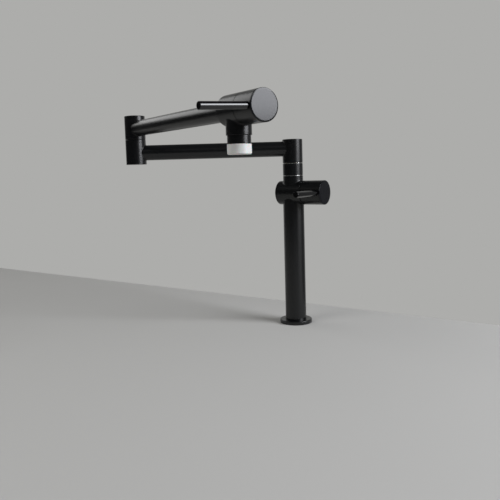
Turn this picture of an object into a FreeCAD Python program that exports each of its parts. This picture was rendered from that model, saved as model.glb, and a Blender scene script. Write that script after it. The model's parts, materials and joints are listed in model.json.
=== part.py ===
import FreeCAD, Part
import math
import os
import re

import Sketcher

# A pot filler: a column that stands on the worktop, a quarter-turn valve across it, two swinging arms
# and a second valve over the outlet. Millimetres and degrees. The origin is on the worktop at the
# column's axis; +X runs along the lower barrel to its knob, +Y to the wall and +Z up.

doc = FreeCAD.newDocument("pot_filler")

# The driving sizes, one cell each.
SIZES = {
    # Clearances: parts screwed or soldered together, turning fits, and the slits between moving faces.
    "joint_clearance": "0.05",
    "running_clearance": "0.08",
    "loose_clearance": "0.3",
    "swivel_gap": "0.3",
    "knob_gap": "0.5",
    "disc_gap": "0.05",
    "overrun": "2",
    "right_angle": "90",
    # Worktop fixing
    "deck_thickness": "30",
    "flange_radius": "26",
    "flange_height": "6",
    "flange_recess": "3",
    "flange_bevel": "1",
    "gasket_inner_radius": "17.5",
    "gasket_width": "5",
    "gasket_height": "2",
    "shank_radius": "14",
    "shank_length": "60",
    "shank_bore": "8",
    "shank_spigot": "22",
    "shank_bevel": "1",
    "inlet_radius": "9.3",
    "inlet_depth": "14",
    "rubber_washer_radius": "25",
    "rubber_washer_height": "3",
    "steel_washer_radius": "24",
    "steel_washer_height": "2",
    "nut_across": "38",
    "nut_height": "8",
    "nut_clearance": "0.2",
    # Column
    "column_radius": "16.8",
    "column_wall": "2",
    # O-rings, as squeezed in their grooves
    "ring_section": "1.7",
    "ring_groove_play": "0.4",
    # Barrels of both valves
    "barrel_radius": "19.1",
    "edge_bevel": "0.7",
    "seam_bevel": "0.3",
    "barrel_rear_wall": "4",
    "lower_barrel_height": "212.5",
    "lower_rear_land": "7.2",
    "lower_front_land": "5.05",
    "lower_lever_tilt": "0",
    "body_neck_height": "27",
    "body_neck_floor": "1.5",
    "body_spigot": "16",
    "body_spigot_bore": "11",
    "body_port_radius": "4",
    "inlet_port_offset": "6.5",
    "outlet_port_offset": "5",
    "body_fillet": "1.5",
    "fillet_margin": "0.15",
    # Swivel collar and its bright washers
    "collar_height": "18.7",
    "washer_height": "0.9",
    "washer_inset": "0.15",
    # Swivel posts of both joints
    "post_radius": "11",
    "post_bore": "7.5",
    "post_rise": "13.5",
    "post_bevel": "0.6",
    "post_thread": "10",
    "catch_height": "3.6",
    "catch_width": "2.6",
    "catch_depth": "1.6",
    "first_ring_height": "7.3",
    "second_ring_height": "10.9",
    # Arms, hub and knuckle
    "arm_radius": "12",
    "arm_wall": "1.5",
    "arm_1_length": "250",
    "arm_2_length": "300",
    "arm_1_angle": "215.4",
    "arm_2_angle": "-21.3",
    "socket_depth": "3.8",
    "hub_radius": "16",
    "hub_below": "22.5",
    "hub_above": "14.9",
    "hub_roof": "3.5",
    "hub_bevel": "0.6",
    "knuckle_below": "18.3",
    "knuckle_above": "20.7",
    "knuckle_washer_height": "0.5",
    "knuckle_washer_inset": "0.6",
    "upper_below": "16.6",
    "upper_above": "19.9",
    "grub_radius": "2",
    "grub_tip_radius": "1",
    "grub_recess": "0.5",
    "grub_socket_radius": "1",
    "grub_socket_depth": "2",
    # Headwork, the same in both valves
    "headwork_radius": "10.5",
    "headwork_depth": "24",
    "chamber_radius": "8.5",
    "seal_height": "1.2",
    "seal_inner_radius": "6.5",
    "housing_bore": "8.6",
    "housing_shoulder": "6",
    "housing_flange_radius": "13",
    "housing_flange_height": "3",
    "housing_neck_radius": "7.5",
    "housing_neck": "14",
    "window_radius": "3",
    "window_depth": "16.5",
    "disc_height": "3",
    "disc_port_radius": "2",
    "disc_port_offset": "4.4",
    "spindle_radius": "4.5",
    "spindle_stem_radius": "3.2",
    "spindle_thrust_height": "2.2",
    "spindle_shoulder": "1",
    "spline_radius": "3.5",
    "spindle_ring_section": "1.3",
    "spindle_ring_depth": "2.5",
    # Knob, lever and end cap, the same on both valves
    "knob_length": "36",
    "knob_wall": "2.5",
    "knob_web": "13",
    "screw_head_radius": "3.5",
    "screw_head_height": "2.5",
    "screw_head_depth": "8.2",
    "screw_head_room": "0.7",
    "screw_radius": "1.5",
    "screw_length": "10",
    "screw_socket_radius": "1.25",
    "screw_socket_depth": "1.4",
    "cap_height": "2",
    "cap_spigot_radius": "8.1",
    "cap_spigot_height": "2.7",
    "cap_recess": "3",
    "lever_radius": "4.6",
    "lever_length": "60.4",
    "lever_setback": "7.3",
    "lever_sink": "0.7",
    "lever_stud_radius": "3",
    "lever_stud_length": "7.7",
    "lever_bevel": "0.5",
    # Outlet
    "spout_rear_land": "4.5",
    "spout_front_land": "1.25",
    "spout_lever_tilt": "2.3",
    "tube_seat_depth": "5",
    "spout_neck_radius": "15.5",
    "spout_neck_drop": "29.8",
    "spout_thread_radius": "12.5",
    "spout_thread_depth": "9",
    "spout_port_radius": "5",
    "aerator_radius": "14.2",
    "aerator_seam": "0.2",
    "aerator_height": "10.2",
    "aerator_spigot": "7.5",
    "aerator_bore": "10",
    "outlet_ring_radius": "14.6",
    "outlet_ring_height": "12.1",
    "outlet_ring_bevel": "0.8",
    "outlet_ring_spigot": "4",
    "outlet_radius": "9.5",
    "outlet_recess": "1.8",
    "insert_height": "6",
    "insert_hole_radius": "0.95",
    "screen_height": "0.8",
    "screen_hole_radius": "0.5",
    "gasket_ring_height": "2",
    "gasket_ring_bore": "7.5",
}

# Sizes and places that follow from them.
WORKED_OUT = {
    "column_bore": "=column_radius - column_wall",
    "spigot_radius": "=column_bore - joint_clearance",
    "ring_tube": "=ring_section / 2",
    "ring_groove_half": "=(ring_section + ring_groove_play) / 2",
    "ring_groove_depth": "=ring_section + joint_clearance",
    "gasket_outer_radius": "=gasket_inner_radius + gasket_width",
    "washer_bore": "=shank_radius + nut_clearance",
    "steel_washer_top": "=deck_thickness + rubber_washer_height",
    "nut_top": "=steel_washer_top + steel_washer_height",
    "nut_circumradius": "=nut_across / 2 / cos(30deg)",
    "shank_top": "=flange_recess + shank_spigot",
    "shank_ring_height": "=flange_recess + shank_spigot / 2",
    "body_neck_radius": "=hub_radius",
    "lower_barrel_back": "=body_neck_radius + lower_rear_land",
    "lower_body_face": "=body_neck_radius + lower_front_land",
    "lower_seam": "=lower_body_face + knob_gap / 2",
    "lower_seat": "=lower_seam - headwork_depth",
    "lower_chamber_end": "=lower_barrel_back - barrel_rear_wall",
    "neck_floor": "=barrel_radius + body_neck_floor",
    "spigot_end": "=barrel_radius + body_spigot",
    "body_ring_height": "=-barrel_radius - body_spigot / 2",
    "post_hole": "=post_radius + joint_clearance",
    "washer_radius": "=body_neck_radius - washer_inset",
    "neck_top": "=lower_barrel_height + body_neck_height",
    "collar_bottom": "=neck_top + washer_height",
    "collar_top": "=collar_bottom + collar_height",
    "hub_bottom": "=collar_top + washer_height + swivel_gap",
    "column_post_drop": "=hub_bottom - lower_barrel_height - neck_floor",
    "arm_1_height": "=hub_bottom + hub_below",
    "hub_bore": "=post_radius + running_clearance",
    "arm_bore": "=arm_radius - arm_wall",
    "socket_radius": "=arm_radius + joint_clearance",
    "tube_start": "=hub_radius - socket_depth",
    "socket_floor": "=tube_start - joint_clearance",
    "hub_past": "=hub_radius + overrun",
    "knuckle_x": "=arm_1_length * cos(arm_1_angle * 1deg)",
    "knuckle_y": "=arm_1_length * sin(arm_1_angle * 1deg)",
    "knuckle_top": "=arm_1_height + knuckle_above",
    "upper_bottom": "=knuckle_top + knuckle_washer_height + swivel_gap",
    "knuckle_post_drop": "=upper_bottom - knuckle_top + post_thread",
    "knuckle_washer_radius": "=hub_radius - knuckle_washer_inset",
    "arm_2_height": "=upper_bottom + upper_below",
    "catch_radius": "=post_radius - catch_depth",
    "grub_tip": "=catch_radius + loose_clearance",
    "grub_shoulder": "=hub_bore + loose_clearance",
    "grub_end": "=hub_radius - grub_recess",
    "grub_thread": "=grub_radius - joint_clearance",
    "spout_x": "=knuckle_x + arm_2_length * cos(arm_2_angle * 1deg)",
    "spout_y": "=knuckle_y + arm_2_length * sin(arm_2_angle * 1deg)",
    "spout_barrel_back": "=spout_neck_radius + spout_rear_land",
    "spout_body_face": "=spout_neck_radius + spout_front_land",
    "spout_seam": "=spout_body_face + knob_gap / 2",
    "spout_fillet": "=min(body_fillet; spout_front_land - seam_bevel - fillet_margin)",
    "spout_seam_x": "=spout_x + spout_seam * cos(arm_2_angle * 1deg)",
    "spout_seam_y": "=spout_y + spout_seam * sin(arm_2_angle * 1deg)",
    "spout_seat": "=spout_seam - headwork_depth",
    "tube_seat": "=spout_barrel_back - tube_seat_depth",
    "arm_2_end": "=arm_2_length - tube_seat - joint_clearance",
    "body_face": "=knob_gap / 2",
    "housing_flange_end": "=housing_flange_height - body_face",
    "housing_radius": "=headwork_radius - 2 * joint_clearance",
    "housing_end": "=headwork_depth - seal_height",
    "spindle_hole": "=spindle_radius + running_clearance",
    "fixed_disc_radius": "=housing_bore - 2 * joint_clearance",
    "turning_disc_radius": "=housing_bore - loose_clearance",
    "fixed_disc_front": "=housing_end - disc_height",
    "turning_disc_back": "=fixed_disc_front - disc_gap",
    "turning_disc_front": "=turning_disc_back - disc_height",
    "stem_end": "=turning_disc_front - joint_clearance",
    "thrust_front": "=housing_shoulder + loose_clearance",
    "thrust_back": "=thrust_front + spindle_thrust_height",
    "spline_start": "=housing_neck + spindle_shoulder",
    "screw_seat": "=knob_length - screw_head_depth",
    "spline_end": "=screw_seat - loose_clearance",
    "screw_tip": "=screw_seat - screw_length",
    "screw_head_end": "=screw_seat + screw_head_height",
    "screw_hole": "=screw_radius + joint_clearance",
    "screw_hole_end": "=screw_tip - overrun",
    "spline_hole": "=spline_radius + joint_clearance",
    "spindle_ring_tube": "=spindle_ring_section / 2",
    "spindle_ring_half": "=(spindle_ring_section + ring_groove_play) / 2",
    "spindle_ring_floor": "=spindle_radius - spindle_ring_section - joint_clearance",
    "web_back": "=knob_length - knob_web",
    "knob_front": "=knob_length - cap_height",
    "knob_inner": "=barrel_radius - knob_wall",
    "cap_recess_floor": "=knob_front - cap_recess",
    "cap_spigot_end": "=knob_front - cap_spigot_height",
    "head_room": "=screw_head_radius + screw_head_room",
    "cap_hole": "=cap_spigot_radius + joint_clearance",
    "cap_face_radius": "=barrel_radius - edge_bevel",
    "lever_x": "=knob_length - lever_setback",
    "lever_seat": "=barrel_radius - lever_sink",
    "lever_reach": "=barrel_radius + lever_length",
    "lever_stud_reach": "=lever_seat - lever_stud_length",
    "stud_hole": "=lever_stud_radius + joint_clearance",
    "stud_hole_start": "=lever_stud_reach - loose_clearance",
    "seat_hole": "=lever_radius + joint_clearance",
    "spout_thread_floor": "=spout_neck_drop - spout_thread_depth",
    "aerator_top": "=spout_neck_drop + aerator_seam",
    "aerator_bottom": "=aerator_top + aerator_height",
    "aerator_spigot_top": "=aerator_top - aerator_spigot",
    "aerator_spigot_radius": "=spout_thread_radius - joint_clearance",
    "outlet_bottom": "=aerator_bottom + outlet_ring_height",
    "outlet_spigot_top": "=aerator_bottom - outlet_ring_spigot",
    "outlet_spigot_radius": "=aerator_bore - joint_clearance",
    "insert_bottom": "=outlet_bottom - outlet_recess",
    "insert_top": "=insert_bottom - insert_height",
    "insert_radius": "=outlet_radius - joint_clearance",
    "screen_top": "=insert_top - screen_height",
    "gasket_ring_top": "=outlet_spigot_top - gasket_ring_height",
}

sizes = doc.addObject("Spreadsheet::Sheet", "Sizes")
for row, (word, text) in enumerate({**SIZES, **WORKED_OUT}.items(), start=1):
    sizes.set(f"A{row}", word)
    sizes.set(f"B{row}", text)
    sizes.setAlias(f"B{row}", word)
doc.recompute()

# The two axes that round pieces are turned about: the barrels' X and the column's Z.
ALONG = "H_Axis"
UPRIGHT = "V_Axis"

# How far off a surface a point may lie and still count as on it.
ON_SURFACE = 0.001


def cells(text):
    """Points each size's word in an expression at its cell."""
    return re.sub(r"[a-z]\w+", r"Sizes.\g<0>", text)


def value(text):
    return float(sizes.evalExpression(cells(text)))


def place(x="0", y="0", z="0", yaw="0", pitch="0", roll="0"):
    return (f"placement(vector({cells(x)}; {cells(y)}; {cells(z)}); "
            f"rotation({cells(yaw)}; {cells(pitch)}; {cells(roll)}))")


def body_at(label, where):
    body = doc.addObject("PartDesign::Body", label)
    body.Label = label
    body.setExpression("Placement", where)
    return body


def origin_feature(body, role):
    return next(item for item in body.Origin.OriginFeatures if item.Role == role)


def sketch_on(body, role):
    sketch = body.newObject("Sketcher::SketchObject", "Sketch")
    sketch.AttachmentSupport = [(origin_feature(body, role), "")]
    sketch.MapMode = "FlatFace"
    return sketch


def pin_point(sketch, index, end, x, y):
    """Ties a point of the sketch to the sheet, measured from the sketch's own origin."""
    for kind, text in (("DistanceX", x), ("DistanceY", y)):
        number = sketch.addConstraint(Sketcher.Constraint(kind, -1, 1, index, end, value(text)))
        sketch.setExpression(f"Constraints[{number}]", cells(text))


def outline(body, points, aside="0"):
    """A closed outline in the body's XZ plane, its own origin moved `aside` along X."""
    sketch = sketch_on(body, "XZ_Plane")
    sketch.setExpression("AttachmentOffset.Base.x", cells(aside))
    corners = [FreeCAD.Vector(value(x), value(y), 0) for x, y in points]
    count = len(points)
    for i, corner in enumerate(corners):
        sketch.addGeometry(Part.LineSegment(corner, corners[(i + 1) % count]))
    for i in range(count):
        sketch.addConstraint(Sketcher.Constraint("Coincident", i, 2, (i + 1) % count, 1))
    for i, (x, y) in enumerate(points):
        pin_point(sketch, i, 1, x, y)
    return sketch


def turn(body, axis, points, kind="PartDesign::Revolution", aside="0"):
    """Turns an outline about ALONG or UPRIGHT. Each point is its place on the axis and its radius."""
    if axis == UPRIGHT:
        points = [(radius, height) for height, radius in points]
    sketch = outline(body, points, aside)
    feature = body.newObject(kind, "Turned")
    feature.Profile = sketch
    feature.ReferenceAxis = (sketch, [axis])
    feature.Angle = 360
    return feature


def bore(body, axis, points, aside="0"):
    return turn(body, axis, points, "PartDesign::Groove", aside)


def plain(start, end, radius, inner="0"):
    """The outline of a plain cylinder, or of a ring."""
    return [(start, inner), (start, radius), (end, radius), (end, inner)]


def drill(body, role, centre, radius, start="0", depth=None, away=False):
    """Drills a round hole along the plane's normal, or away from it, from `start` on."""
    sketch = sketch_on(body, role)
    sketch.setExpression("AttachmentOffset.Base.z", cells(start))
    middle = FreeCAD.Vector(value(centre[0]), value(centre[1]), 0)
    sketch.addGeometry(Part.Circle(middle, FreeCAD.Vector(0, 0, 1), value(radius)))
    pin_point(sketch, 0, 3, *centre)
    number = sketch.addConstraint(Sketcher.Constraint("Radius", 0, value(radius)))
    sketch.setExpression(f"Constraints[{number}]", cells(radius))
    hole = body.newObject("PartDesign::Pocket", "Drilled")
    hole.Profile = sketch
    hole.Reversed = not away
    if depth is None:
        hole.Type = "ThroughAll"
    else:
        hole.setExpression("Length", cells(depth))
    return hole


def around(body, feature, count):
    """Repeats a feature evenly round the body's Z axis."""
    pattern = body.newObject("PartDesign::PolarPattern", "Around")
    pattern.Originals = [feature]
    pattern.Axis = (origin_feature(body, "Z_Axis"), [""])
    pattern.Angle = 360
    pattern.Occurrences = count
    body.Tip = pattern


def ring(label, where, inner, outer, bottom, top):
    """A plain upright ring."""
    turn(body_at(label, where), UPRIGHT, plain(bottom, top, outer, inner))


def o_ring(label, where, middle, tube):
    torus = doc.addObject("Part::Torus", label)
    torus.Label = label
    torus.setExpression("Radius1", cells(middle))
    torus.setExpression("Radius2", cells(tube))
    torus.setExpression("Placement", where)
    return torus


def fillet_tee(body, barrel, neck, radius):
    """Rounds the corner where a neck about the body's Z meets its barrel about X."""
    doc.recompute()
    blank = body.Tip
    corner = []
    for number, edge in enumerate(blank.Shape.Edges, start=1):
        spot = edge.valueAt((edge.FirstParameter + edge.LastParameter) / 2)
        off_barrel = abs(math.hypot(spot.y, spot.z) - value(barrel))
        off_neck = abs(math.hypot(spot.x, spot.y) - value(neck))
        if max(off_barrel, off_neck) < ON_SURFACE:
            corner.append(f"Edge{number}")
    fillet = body.newObject("PartDesign::Fillet", "Filleted")
    fillet.Base = (blank, corner)
    fillet.setExpression("Radius", cells(radius))


def groove(body, axis, middle, half, floor, surface):
    """A square groove round a post, spigot or spindle."""
    bore(body, axis, plain(f"{middle} - {half}", f"{middle} + {half}", f"{surface} + overrun", floor))


def ring_groove(body, middle, surface):
    """The groove of an O-ring with the common section."""
    groove(body, UPRIGHT, middle, "ring_groove_half", f"{surface} - ring_groove_depth", surface)


# Places that several pieces share
DECK = place()
LOWER_BARREL = place(z="lower_barrel_height")
ARM_1 = place(z="arm_1_height", yaw="arm_1_angle")
KNUCKLE = place("knuckle_x", "knuckle_y", "arm_1_height", "arm_1_angle")
UPPER_KNUCKLE = place("knuckle_x", "knuckle_y", "arm_2_height", "arm_2_angle")
SPOUT = place("spout_x", "spout_y", "arm_2_height", "arm_2_angle")


def base_flange():
    """Round foot plate: a recess for the column above, a gasket groove below."""
    body = body_at("base_flange", DECK)
    turn(body, UPRIGHT, [("0", "washer_bore"), ("0", "flange_radius"),
                         ("flange_height - flange_bevel", "flange_radius"),
                         ("flange_height", "flange_radius - flange_bevel"),
                         ("flange_height", "washer_bore")])
    bore(body, UPRIGHT, plain("flange_recess", "flange_height + overrun", "column_radius + joint_clearance"))
    bore(body, UPRIGHT, plain("-overrun", "gasket_height", "gasket_outer_radius + joint_clearance",
                              "gasket_inner_radius - joint_clearance"))


def mounting_shank():
    """Threaded shank: its spigot fills the column's foot, its shoulder bears on the flange."""
    body = body_at("mounting_shank", DECK)
    turn(body, UPRIGHT, [("-shank_length", "0"), ("-shank_length", "shank_radius - shank_bevel"),
                         ("shank_bevel - shank_length", "shank_radius"), ("flange_recess", "shank_radius"),
                         ("flange_recess", "spigot_radius"), ("shank_top", "spigot_radius"),
                         ("shank_top", "0")])
    bore(body, UPRIGHT, plain("-shank_length - overrun", "inlet_depth - shank_length", "inlet_radius"))
    bore(body, UPRIGHT, plain("-shank_length - overrun", "shank_top + overrun", "shank_bore"))
    ring_groove(body, "shank_ring_height", "spigot_radius")


def shank_nut():
    """Six-sided back nut under the washers."""
    prism = doc.addObject("Part::Prism", "nut_blank")
    prism.Polygon = 6
    prism.setExpression("Circumradius", cells("nut_circumradius"))
    prism.setExpression("Height", cells("nut_height"))
    hole = doc.addObject("Part::Cylinder", "nut_hole")
    hole.setExpression("Radius", cells("shank_radius + joint_clearance"))
    hole.setExpression("Height", cells("nut_height + 2 * overrun"))
    hole.setExpression("Placement", place(z="-overrun"))
    nut = doc.addObject("Part::Cut", "shank_nut")
    nut.Label = "shank_nut"
    nut.Base = prism
    nut.Tool = hole
    nut.setExpression("Placement", place(z="-nut_top - nut_height"))


def column_tube():
    """Upright tube, its top coped to the barrel that it is soldered to."""
    body = body_at("column_tube", LOWER_BARREL)
    turn(body, UPRIGHT, plain("flange_recess - lower_barrel_height", "0", "column_radius", "column_bore"))
    reach = "barrel_radius + overrun"
    bore(body, ALONG, plain(f"-({reach})", reach, "barrel_radius + joint_clearance"))


def swivel_post(label, where, drop):
    """Hollow post that a hub turns on: two O-ring grooves and a catch groove. z = 0 is the hub's foot."""
    body = body_at(label, where)
    turn(body, UPRIGHT, [(f"-{drop}", "post_bore"), (f"-{drop}", "post_radius"),
                         ("post_rise - post_bevel", "post_radius"),
                         ("post_rise", "post_radius - post_bevel"), ("post_rise", "post_bore")])
    for height in ("first_ring_height", "second_ring_height"):
        ring_groove(body, height, "post_radius")
    groove(body, UPRIGHT, "catch_height", "catch_width / 2", "catch_radius", "post_radius")


def post_rings(label, x, y, foot):
    """The two O-rings of a swivel post, kept as one pair."""
    pair = []
    for side in ("first", "second"):
        where = place(x, y, f"{foot} + {side}_ring_height")
        pair.append(o_ring(f"{label}_{side}", where, "post_radius - ring_tube", "ring_tube"))
    group = doc.addObject("Part::Compound", label)
    group.Label = label
    group.Links = pair


def swivel_collar():
    """Sleeve round the post, between two bright washers."""
    body = body_at("swivel_collar", DECK)
    turn(body, UPRIGHT, [("collar_bottom", "post_hole"), ("collar_bottom", "body_neck_radius - seam_bevel"),
                         ("collar_bottom + seam_bevel", "body_neck_radius"),
                         ("collar_top - seam_bevel", "body_neck_radius"),
                         ("collar_top", "body_neck_radius - seam_bevel"), ("collar_top", "post_hole")])


def hub_blank(label, where, below, above):
    """Closed, bevelled cylinder that every hub and knuckle half starts from."""
    body = body_at(label, where)
    turn(body, UPRIGHT, [(f"-{below}", "0"), (f"-{below}", "hub_radius - seam_bevel"),
                         (f"seam_bevel - {below}", "hub_radius"), (f"{above} - hub_bevel", "hub_radius"),
                         (above, "hub_radius - hub_bevel"), (above, "0")])
    return body


def bored_hub(label, where, below, above, start, end, bore_radius, way):
    """A hub with its post bore and, round that bore, the socket and water way of an arm tube."""
    body = hub_blank(label, where, below, above)
    bore(body, ALONG, plain("0", f"{way}hub_past", "socket_radius"))
    turn(body, UPRIGHT, plain(f"-{below}", above, "socket_floor"))
    bore(body, UPRIGHT, plain(start, end, bore_radius))
    bore(body, ALONG, plain("0", f"{way}hub_past", "arm_bore"))
    return body


def turning_hub(label, where, below, above, grub_away):
    """A hub that drops over a swivel post: blind bore, tube socket and grub screw hole."""
    body = bored_hub(label, where, below, above, f"-{below} - overrun", f"{above} - hub_roof", "hub_bore", "")
    drill(body, "XZ_Plane", ("0", f"catch_height - {below}"), "grub_radius", away=grub_away)


def grub_screw(label, where):
    """Dog-point grub screw whose tip runs in the post's catch groove. x points outwards."""
    body = body_at(label, where)
    turn(body, ALONG, [("grub_tip", "0"), ("grub_tip", "grub_tip_radius"),
                       ("grub_shoulder", "grub_tip_radius"), ("grub_shoulder", "grub_thread"),
                       ("grub_end", "grub_thread"), ("grub_end", "0")])
    drill(body, "YZ_Plane", ("0", "0"), "grub_socket_radius", "grub_end - grub_socket_depth",
          "grub_socket_depth + overrun")


def knuckle_lower():
    """Lower half of the elbow at the far end of arm 1: blind from above, socket towards the column."""
    bored_hub("knuckle_lower", KNUCKLE, "knuckle_below", "knuckle_above", "hub_roof - knuckle_below",
              "knuckle_above + overrun", "post_hole", "-")


def arm_tube(label, where, end, coped_ends=("0",)):
    """Arm tube, each end that enters a hub coped to the floor of its socket."""
    body = body_at(label, where)
    turn(body, ALONG, plain("0", end, "arm_radius", "arm_bore"))
    half = "arm_radius + overrun"
    for axis_x in coped_ends:
        bore(body, UPRIGHT, plain(f"-({half})", half, "tube_start"), axis_x)


def barrel_blank(body, back, face):
    """The bevelled cylinder across a valve, from its rear face to the knob's seam."""
    turn(body, ALONG, [(f"-{back}", "0"), (f"-{back}", "cap_face_radius"),
                       (f"edge_bevel - {back}", "barrel_radius"), (f"{face} - seam_bevel", "barrel_radius"),
                       (face, "barrel_radius - seam_bevel"), (face, "0")])


def headwork_bore(body, back, seat, face):
    """Water chamber behind the seat, and the wider bore that takes the headwork."""
    bore(body, ALONG, plain(back, f"{face} + overrun", "chamber_radius"))
    bore(body, ALONG, plain(seat, f"{face} + overrun", "headwork_radius"))


def lower_valve_body():
    """Cast tee: barrel across, neck above for the swivel, spigot below for the column."""
    body = body_at("lower_valve_body", LOWER_BARREL)
    barrel_blank(body, "lower_barrel_back", "lower_body_face")
    turn(body, UPRIGHT, [("0", "0"), ("0", "body_neck_radius"),
                         ("body_neck_height - seam_bevel", "body_neck_radius"),
                         ("body_neck_height", "body_neck_radius - seam_bevel"), ("body_neck_height", "0")])
    fillet_tee(body, "barrel_radius", "body_neck_radius", "body_fillet")
    turn(body, UPRIGHT, plain("-spigot_end", "0", "spigot_radius"))
    headwork_bore(body, "-lower_chamber_end", "lower_seat", "lower_body_face")
    bore(body, UPRIGHT, plain("neck_floor", "body_neck_height + overrun", "post_hole"))
    bore(body, UPRIGHT, plain("-spigot_end - overrun", "-neck_floor", "body_spigot_bore"))
    through = "neck_floor + overrun"
    drill(body, "XY_Plane", ("outlet_port_offset", "0"), "body_port_radius", depth=through)
    drill(body, "XY_Plane", ("-inlet_port_offset", "0"), "body_port_radius", depth=through, away=True)
    ring_groove(body, "body_ring_height", "spigot_radius")


def spout_valve_body():
    """Cast outlet: barrel in line with arm 2, and a neck that hangs down for the aerator."""
    body = body_at("spout_valve_body", SPOUT)
    barrel_blank(body, "spout_barrel_back", "spout_body_face")
    turn(body, UPRIGHT, [("-spout_neck_drop", "0"), ("-spout_neck_drop", "spout_neck_radius - seam_bevel"),
                         ("seam_bevel - spout_neck_drop", "spout_neck_radius"), ("0", "spout_neck_radius"),
                         ("0", "0")])
    fillet_tee(body, "barrel_radius", "spout_neck_radius", "spout_fillet")
    headwork_bore(body, "-tube_seat", "spout_seat", "spout_body_face")
    bore(body, ALONG, plain("-spout_barrel_back - overrun", "-tube_seat", "socket_radius"))
    bore(body, UPRIGHT, plain("-spout_neck_drop - overrun", "-spout_thread_floor", "spout_thread_radius"))
    drill(body, "XY_Plane", ("0", "0"), "spout_port_radius", depth="spout_thread_floor + overrun", away=True)


def aerator_housing():
    """Black sleeve that screws up into the outlet's neck."""
    body = body_at("aerator_housing", SPOUT)
    turn(body, UPRIGHT, [("-aerator_bottom", "aerator_bore"),
                         ("-aerator_bottom", "aerator_radius - seam_bevel"),
                         ("seam_bevel - aerator_bottom", "aerator_radius"),
                         ("-aerator_top - seam_bevel", "aerator_radius"),
                         ("-aerator_top", "aerator_radius - seam_bevel"),
                         ("-aerator_top", "aerator_spigot_radius"),
                         ("-aerator_spigot_top", "aerator_spigot_radius"),
                         ("-aerator_spigot_top", "aerator_bore")])


def aerator_ring():
    """White outlet ring, pushed up into the sleeve."""
    body = body_at("aerator_ring", SPOUT)
    turn(body, UPRIGHT, [("-outlet_bottom", "outlet_radius"),
                         ("-outlet_bottom", "outlet_ring_radius - outlet_ring_bevel"),
                         ("outlet_ring_bevel - outlet_bottom", "outlet_ring_radius"),
                         ("-aerator_bottom - seam_bevel", "outlet_ring_radius"),
                         ("-aerator_bottom", "outlet_ring_radius - seam_bevel"),
                         ("-aerator_bottom", "outlet_spigot_radius"),
                         ("-outlet_spigot_top", "outlet_spigot_radius"),
                         ("-outlet_spigot_top", "outlet_radius")])


# Holes in each ring of an aerator plate, and the ring's radius as a share of the plate's.
HOLE_ROW_SHARES = {6: "1 / 3", 12: "2 / 3"}


def perforated(label, top, bottom, hole_radius):
    """A round plate with rings of holes round a middle one."""
    body = body_at(label, SPOUT)
    turn(body, UPRIGHT, plain(f"-{bottom}", f"-{top}", "insert_radius"))
    drill(body, "XY_Plane", ("0", "0"), hole_radius, away=True)
    for count, share in HOLE_ROW_SHARES.items():
        doc.recompute()
        hole = drill(body, "XY_Plane", (f"insert_radius * {share}", "0"), hole_radius, away=True)
        around(body, hole, count)


def headwork(side, where):
    """The still half of a cartridge: seat seal, housing with four windows, and the fixed ceramic disc."""
    body = body_at(f"{side}_seat_seal", where)
    turn(body, ALONG, plain("-headwork_depth", "-housing_end", "housing_radius", "seal_inner_radius"))

    body = body_at(f"{side}_headwork_housing", where)
    turn(body, ALONG, [("-housing_end", "housing_bore"), ("-housing_end", "housing_radius"),
                       ("-body_face", "housing_radius"), ("-body_face", "housing_flange_radius"),
                       ("housing_flange_end", "housing_flange_radius"),
                       ("housing_flange_end", "housing_neck_radius"),
                       ("housing_neck", "housing_neck_radius"), ("housing_neck", "spindle_hole"),
                       ("-housing_shoulder", "spindle_hole"), ("-housing_shoulder", "housing_bore")])
    for role in ("XY_Plane", "XZ_Plane"):
        for away in (False, True):
            drill(body, role, ("-window_depth", "0"), "window_radius", away=away)

    ceramic_disc(f"{side}_fixed_disc", where, "-housing_end", "-fixed_disc_front", "fixed_disc_radius")


def ceramic_disc(label, where, back, front, radius):
    body = body_at(label, where)
    turn(body, ALONG, plain(back, front, radius))
    for offset in ("disc_port_offset", "-disc_port_offset"):
        drill(body, "YZ_Plane", ("0", offset), "disc_port_radius", away=True)


def spindle(side, where):
    """Stem on the turning disc, thrust collar inside the housing, O-ring groove, and square for the knob."""
    body = body_at(f"{side}_spindle", where)
    turn(body, ALONG, [("-stem_end", "0"), ("-stem_end", "spindle_stem_radius"),
                       ("-thrust_back", "spindle_stem_radius"), ("-thrust_back", "turning_disc_radius"),
                       ("-thrust_front", "turning_disc_radius"), ("-thrust_front", "spindle_radius"),
                       ("spline_start", "spindle_radius"), ("spline_start", "spline_radius"),
                       ("spline_end", "spline_radius"), ("spline_end", "0")])
    groove(body, ALONG, "spindle_ring_depth", "spindle_ring_half", "spindle_ring_floor", "spindle_radius")
    bore(body, ALONG, plain("screw_hole_end", "spline_end + overrun", "screw_hole"))


def knob(side, where):
    """Hollow knob in line with the barrel: its web takes the spindle, the lever's stud and the cap."""
    body = body_at(f"{side}_knob", where)
    turn(body, ALONG, [("body_face", "knob_inner"), ("body_face", "barrel_radius - seam_bevel"),
                       ("body_face + seam_bevel", "barrel_radius"), ("knob_front", "barrel_radius"),
                       ("knob_front", "0"), ("web_back", "0"), ("web_back", "knob_inner")])
    bore(body, ALONG, plain("web_back - overrun", "knob_front + overrun", "spline_hole"))
    bore(body, ALONG, plain("screw_seat", "knob_front + overrun", "head_room"))
    bore(body, ALONG, plain("cap_recess_floor", "knob_front + overrun", "cap_hole"))
    drill(body, "XZ_Plane", ("lever_x", "0"), "stud_hole", "stud_hole_start", "barrel_radius")
    drill(body, "XZ_Plane", ("lever_x", "0"), "seat_hole", "lever_seat", "barrel_radius")


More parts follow.
